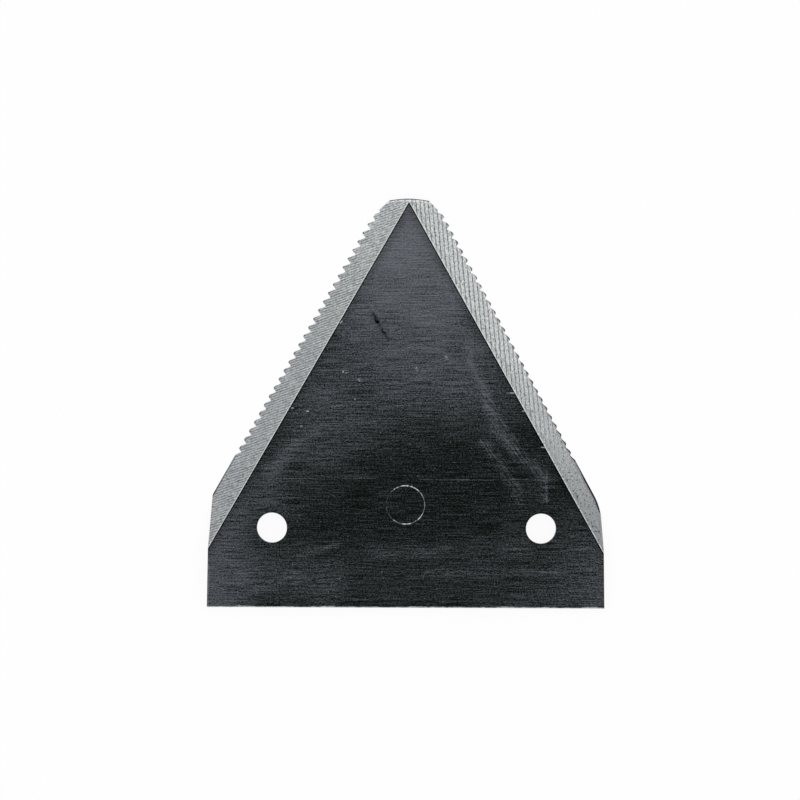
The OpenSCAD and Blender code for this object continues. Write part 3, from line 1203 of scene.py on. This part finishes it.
# How dull and speckled a bevel is, with the levels of its pits and of the band beside the ridge; how
# strong its lines are in the middle, at the heel and at the tip; how the lines are drawn and broken;
# and the grey of the heel, which begins at heel_reach and has its full share at heel_full.
LOOK = {
    LEFT: {
        "dull": 0.49, "speckle": 0.21, "pits": 0.35, "band": 0.0,
        "lines": 0.56, "heel_lines": 0.62, "tip_lines": 0.7,
        "narrow": 0.2, "wander": 0.9, "dash": 4.0, "breaks": (0.35, 0.6), "faint": 0.3,
        "heel": seen(132, 135, 140), "heel_share": 0.38, "heel_reach": 64.0, "heel_full": 25.0,
    },
    RIGHT: {
        "dull": 0.38, "speckle": 0.22, "pits": 0.6, "band": 0.13,
        "lines": 1.1, "heel_lines": 0.12, "tip_lines": 1.0,
        "narrow": 0.72, "wander": 2.2, "dash": 0.6, "breaks": (0.5, 0.62), "faint": 0.4,
        "heel": seen(133, 136, 138), "heel_share": 1.0, "heel_reach": 37.0, "heel_full": -5.0,
    },
}
print(f"the left lines lie at {WHEEL[LEFT]['angle']} degrees, the right ones at {WHEEL[RIGHT]['angle']}")

# %% Lines of the wheel
# A wave texture of scale 1 turns by 20 radians in each unit, so this scale draws one band per unit.
WAVE_UNIT = 2 * np.pi / 20
line_stretch = 8
dash_w = 0.5


def wheel_lines(tree, place, wheel, look):
    """Dark lines along the wheel's direction, from 0 to 1: bands of the wheel's pitch that wander a little
    and are broken into dashes. A higher share of narrow leaves thinner lines."""
    pitch = wheel["pitch"]
    sockets = {
        "Vector": measured(tree, place, (line_stretch * pitch, pitch), wheel["angle"]),
        "Scale": WAVE_UNIT,
        "Distortion": look["wander"],
        "Detail": 2.0,
        "Detail Scale": 0.5,
    }
    bands = put(tree, "ShaderNodeTexWave", sockets, bands_direction="Y").outputs["Fac"]
    dashes = grain(tree, place, (look["dash"] * pitch, dash_w * pitch), wheel["angle"], detail=2.0)
    strength = eased(tree, dashes, *look["breaks"], look["faint"], 1.0)
    return scaled(tree, eased(tree, bands, look["narrow"], 1.0), strength)


print(f"right lines stand {WHEEL[RIGHT]['pitch'] / WHEEL[LEFT]['pitch']:.1f} times as far apart as left ones")

# %% Lip and strip of the crown
crown_lip_w = 0.12
crown_strip_w = 0.42
crown_fade = 0.12


def crown_level(tree, place):
    """The dark lip of the crown and the bright strip behind it, by the depth below the crown, whose
    arc is nearly the parabola y = tip - x squared / (2 r)."""
    axes = axes_of(tree, place)
    aside = worked_out(tree, "SUBTRACT", axes["X"], float(crown_centre[0]))
    drop = scaled(tree, worked_out(tree, "MULTIPLY", aside, aside), 0.5 / crown_r)
    depth = joined(tree, "SUBTRACT", [tip_y, axes["Y"], drop])
    lip = eased(tree, depth, crown_lip_w, crown_lip_w + crown_fade, 1.0, 0.0)
    strip = eased(tree, depth, crown_strip_w, crown_strip_w + crown_fade, -0.3, 0.0)
    return worked_out(tree, "ADD", lip, strip)


print(f"the crown's arc has a radius of {crown_r:.1f} mm")

# %% Bright bevels
GROOVE_CUTTER = {"angle": 30, "pitch": 0.5}
heel_lines_run = (8.0, 28.0)
tip_lines_run = (40.0, 56.0)
pitted_run = (8.0, 22.0)


def ground_steel(name, wheel, look):
    """Bare steel. Its level from bright to furrow steel is the sum of the wheel's lines, a speckle, a dark
    edge, the crown's strips and the band beside the ridge. The colour then fades into the heel's grey,
    gets a painted highlight on the ridge and is dimmed by pits."""
    material, tree, shader, place = new_finish(name)
    y = axes_of(tree, place)["Y"]
    at_tip = eased(tree, y, *tip_lines_run, 1.0, look["tip_lines"])
    at_heel = eased(tree, y, *heel_lines_run, look["heel_lines"], look["lines"])
    lines = scaled(tree, wheel_lines(tree, place, wheel, look), at_tip)
    speckle = grain(tree, place, (0.45, 0.2), wheel["angle"], detail=2.0)
    ridge_gap = beyond_line(tree, place, bevel_lines)
    edge_gap = beyond_line(tree, place, edge_lines)
    band = eased(tree, ridge_gap, 0.6, 1.0, look["band"], 0.0)
    level = total(tree, [
        scaled(tree, lines, at_heel),
        eased(tree, speckle, *NOISE_SPAN, look["dull"] - look["speckle"], look["dull"] + look["speckle"]),
        eased(tree, edge_gap, -0.35, -0.1, 0.0, 0.8),
        crown_level(tree, place),
        scaled(tree, eased(tree, ridge_gap, 0.2, 0.5), band),
    ])
    colour = blended(tree, level, bright_steel, furrow_steel)
    heel = eased(tree, y, look["heel_full"], look["heel_reach"], look["heel_share"], 0.0)
    colour = blended(tree, heel, colour, look["heel"])
    # A painted highlight: the colour blends into bright steel along the ridge.
    colour = blended(tree, eased(tree, ridge_gap, 0.06, 0.24, 0.65, 0.0), colour, bright_steel)
    sparkle = eased(tree, grain(tree, place, (0.26, 0.2), detail=1.0), *NOISE_SPAN, 0.86, 1.14)
    pit_noise = grain(tree, place, (0.36, 0.36), detail=1.0)
    pitting = worked_out(tree, "ADD", pit_noise, eased(tree, y, *pitted_run, 0.05, 0.0))
    pits = eased(tree, pitting, 0.64, 0.72)
    shade = worked_out(tree, "SUBTRACT", sparkle, scaled(tree, pits, look["pits"]))
    tree.links.new(multiplied(tree, colour, shade), shader.inputs["Base Color"])
    tree.links.new(eased(tree, level, 0.0, 1.0, 0.3, 0.46), shader.inputs["Roughness"])
    roughened(tree, shader, worked_out(tree, "SUBTRACT", 1.0, lines), 0.003)
    return material


left_finish = ground_steel("ground_steel_left", WHEEL[LEFT], LOOK[LEFT])
right_finish = ground_steel("ground_steel_right", WHEEL[RIGHT], LOOK[RIGHT])
groove_finish = ground_steel("cut_groove_steel", GROOVE_CUTTER, LOOK[LEFT])
print(f"{right_finish.name}: {len(right_finish.node_tree.nodes)} nodes")

# %% [markdown]
# ## Stamped and sheared edges
# A stamped edge is dark where the tool rubbed oil and scale into it, and bright where the steel tore.
# A plain grey would do from far away, but a torn edge glitters. So all four edges are one recipe with
# other colours: noise mixes a dull steel and a bright one and roughens them. On the heel's wall the
# noise is stretched upright, the way the shear went through.

# %% Edges


def torn_steel(name, dull, bright, share, size):
    """Steel that tore or was rubbed: a dull and a bright colour, mixed by noise with grains of a size in
    mm. A higher share leaves more of the bright one."""
    material, tree, shader, place = new_finish(name)
    torn = grain(tree, place, size, detail=4.0)
    level = eased(tree, torn, 0.5 - share, 0.9 - share)
    tree.links.new(blended(tree, level, dull, bright), shader.inputs["Base Color"])
    tree.links.new(eased(tree, torn, *NOISE_SPAN, 0.35, 0.6), shader.inputs["Roughness"])
    roughened(tree, shader, torn, 0.01)
    return material


rim_finish = torn_steel("stamped_edge_steel", seen(26, 28, 29), seen(84, 87, 90), 0.0, (0.4, 0.4))
land_finish = torn_steel("worn_land_steel", seen(40, 43, 44), seen(116, 119, 120), 0.1, (0.5, 0.5))
sheared_finish = torn_steel("sheared_edge_steel", seen(92, 94, 96), seen(196, 199, 200), 0.2, (0.8, 0.3))
torn_finish = torn_steel("torn_heel_steel", seen(52, 54, 56), seen(138, 141, 143), 0.1, (0.16, 0.3, 2.5))
finishes = {
    BODY: body_finish,
    UNDERSIDE: under_finish,
    GROUND_LEFT: left_finish,
    GROUND_RIGHT: right_finish,
    LAND: land_finish,
    RIM: rim_finish,
    SHEARED: sheared_finish,
    TORN: torn_finish,
    GROOVE: groove_finish,
}
for number in sorted(finishes):
    blade.data.materials.append(finishes[number])
print(f"{len(finishes)} finishes on the blade")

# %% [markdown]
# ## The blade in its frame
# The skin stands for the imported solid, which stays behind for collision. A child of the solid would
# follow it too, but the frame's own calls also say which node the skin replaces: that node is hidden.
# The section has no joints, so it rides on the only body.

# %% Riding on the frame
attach(blade, "root")
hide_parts(NODE)
print("the skin rides on root")

# %% [markdown]
# ## Floor, light and camera
# The blade lies on a white table under broad, soft lamps, one on the outward side of each bevel and one
# in front, so that the bevels shine while the flat face, which mirrors the plain room above, stays
# dark. More light would whiten the table too, but it would also bleach the steel. So to the camera and
# in reflections the table is mostly a plain white, with part of its real shade left for the shadow.

# %% Floor
FLOOR_HALF = 1.5
floor_z = -0.02 * MM
matt_white = (0.92, 0.92, 0.92, 1.0)
plain_white = (1.0, 1.0, 1.0, 1.0)
white_share = 0.92


def white_table():
    """A matt white floor that camera and reflections see as nearly plain white."""
    material = bpy.data.materials.new("white_table")
    material.use_nodes = True
    tree = material.node_tree
    tree.nodes.remove(tree.nodes["Principled BSDF"])
    matt = put(tree, "ShaderNodeBsdfDiffuse", {"Color": matt_white}).outputs["BSDF"]
    plain = put(tree, "ShaderNodeEmission", {"Color": plain_white, "Strength": 1.0}).outputs["Emission"]
    path = tree.nodes.new("ShaderNodeLightPath").outputs
    rays = [path["Is Camera Ray"], path["Is Glossy Ray"], path["Is Transmission Ray"]]
    share = scaled(tree, joined(tree, "MAXIMUM", rays), white_share)
    mixed = put(tree, "ShaderNodeMixShader", {0: share, 1: matt, 2: plain}).outputs["Shader"]
    tree.links.new(mixed, tree.nodes["Material Output"].inputs["Surface"])
    return material


corners = np.array([[-1, -1], [1, -1], [1, 1], [-1, 1]]) * FLOOR_HALF
floor_mesh = bpy.data.meshes.new("table")
floor_mesh.from_pydata(with_height(corners, floor_z).tolist(), [], [(0, 1, 2, 3)])
floor_mesh.materials.append(white_table())
floor = bpy.data.objects.new("table", floor_mesh)
bpy.context.scene.collection.objects.link(floor)
print(f"table {2 * FLOOR_HALF:.0f} m wide")

# %% Light
middle = Vector((0.0, (tip_y + heel_y) / 2 * MM, 0.0))
lamps = [
    ("left_lamp", (-0.62, 0.36, 0.7), 0.8, 0.42),
    ("right_lamp", (0.62, 0.36, 0.7), 0.8, 0.42),
    ("front_lamp", (0.1, -0.9, 0.7), 0.8, 0.42),
]
room_light = 0.86

for name, offset, size, glow in lamps:
    data = bpy.data.lights.new(name, "AREA")
    data.shape = "DISK"
    data.size = size
    # A flat lamp sends out pi times its area times its glow.
    data.energy = glow * np.pi * np.pi * (size / 2) ** 2
    lamp = bpy.data.objects.new(name, data)
    lamp.location = middle + Vector(offset)
    lamp.rotation_euler = Vector(offset).to_track_quat("Z", "Y").to_euler()
    bpy.context.scene.collection.objects.link(lamp)

world = bpy.data.worlds.new("plain_room")
world.use_nodes = True
room = world.node_tree.nodes["Background"]
room.inputs["Color"].default_value = plain_white
room.inputs["Strength"].default_value = room_light
bpy.context.scene.world = world
bpy.context.scene.view_settings.view_transform = "Standard"
print(f"{len(lamps)} lamps")

# %% [markdown]
# ### The camera
# It looks straight down on the blade, turned by about a quarter of a degree. An orthographic camera
# would show no perspective at all. A long lens 0.6 m above the blade shows only a little of it, as a
# photograph of a flat part does.

# %% Camera
view_middle = np.array([-1.316, 24.19])
view_width = 150.9
view_turn = 0.234
camera_height = 600
sensor = 36

data = bpy.data.cameras.new("camera")
data.sensor_width = sensor
data.lens = sensor * camera_height / view_width
data.clip_end = 10
camera = bpy.data.objects.new("camera", data)
camera.location = Vector((*(view_middle * MM), (camera_height + blade_t) * MM))
camera.rotation_euler = (0.0, 0.0, np.radians(view_turn))
bpy.context.scene.collection.objects.link(camera)
bpy.context.scene.camera = camera
print(f"lens {data.lens:.0f} mm")
